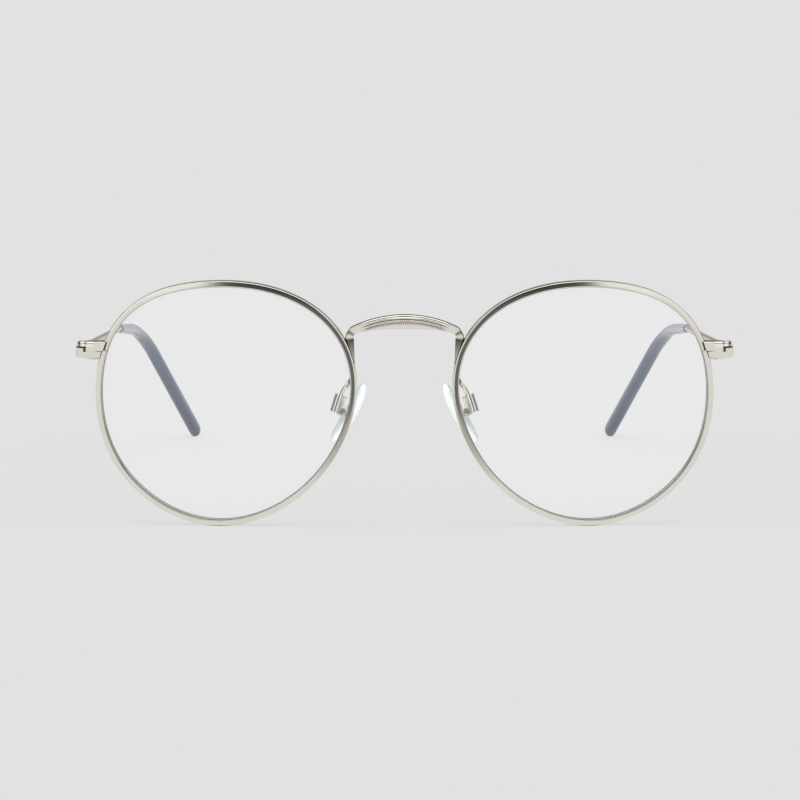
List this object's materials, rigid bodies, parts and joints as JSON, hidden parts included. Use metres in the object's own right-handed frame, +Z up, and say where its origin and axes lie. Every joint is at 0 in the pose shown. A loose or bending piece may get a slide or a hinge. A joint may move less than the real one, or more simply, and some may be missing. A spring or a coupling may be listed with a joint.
{
  "type": "round wire eyeglasses",
  "caption": "Round metal eyeglasses with an arched engraved bridge, screw-on nose pads, hinged temples and bent acetate tips, standing open on a table",
  "frame": {"origin": "The middle of the footprint, on the table: the centre of the bounding box in X and Y, at the height of the rims' lowest points and the temple tips' ends", "axes": "+Z up, -Y the way the front faces, +Y along the open temples to the rear, +X the wearer's left"},
  "size_m": [0.1324, 0.145, 0.05],
  "materials": {
    "frame_metal": "polished, pale warm silver plating on nickel alloy wire",
    "screw_steel": "turned stainless steel",
    "lens": "clear moulded optical resin, polished, anti-reflection coated",
    "tip_acetate": "translucent blue-grey acetate, polished",
    "pad_silicone": "clear soft moulded, smooth"
  },
  "bodies": {
    "front": {"bridge": "frame_metal", "rim_right": "frame_metal", "rim_left": "frame_metal", "lens_right": "lens", "lens_left": "lens", "endpiece_right": "frame_metal", "endpiece_left": "frame_metal", "closing_block_right": "frame_metal", "closing_block_left": "frame_metal", "lens_screw_right": "screw_steel", "lens_screw_left": "screw_steel", "hinge_front_right": "frame_metal", "hinge_front_left": "frame_metal", "hinge_screw_right": "screw_steel", "hinge_screw_left": "screw_steel", "pad_arm_right": "frame_metal", "pad_arm_left": "frame_metal", "pad_box_right": "frame_metal", "pad_box_left": "frame_metal", "pad_screw_right": "screw_steel", "pad_screw_left": "screw_steel"},
    "temple_right_body": {"hinge_temple_right": "frame_metal", "temple_right": "frame_metal", "temple_tip_right": "tip_acetate"},
    "pad_right_body": {"pad_mount_right": "screw_steel", "nose_pad_right": "pad_silicone"},
    "temple_left_body": {"hinge_temple_left": "frame_metal", "temple_left": "frame_metal", "temple_tip_left": "tip_acetate"},
    "pad_left_body": {"pad_mount_left": "screw_steel", "nose_pad_left": "pad_silicone"}
  },
  "joints": [
    {"name": "temple_fold_right", "type": "hinge", "parent": "front", "child": "temple_right_body", "pos_m": [-0.0637, -0.06012, 0.0355], "axis": [0, 0, -1], "range_deg": [0, 81]},
    {"name": "temple_fold_left", "type": "hinge", "parent": "front", "child": "temple_left_body", "pos_m": [0.0637, -0.06012, 0.0355], "axis": [0, 0, 1], "range_deg": [0, 85]},
    {"name": "pad_rock_right", "type": "hinge", "parent": "front", "child": "pad_right_body", "pos_m": [-0.0127, -0.06232, 0.0231], "axis": [-0.2419, 0.9703, 0], "range_deg": [-8, 8]},
    {"name": "pad_rock_left", "type": "hinge", "parent": "front", "child": "pad_left_body", "pos_m": [0.0127, -0.06232, 0.0231], "axis": [0.2419, 0.9703, 0], "range_deg": [-8, 8]}
  ]
}
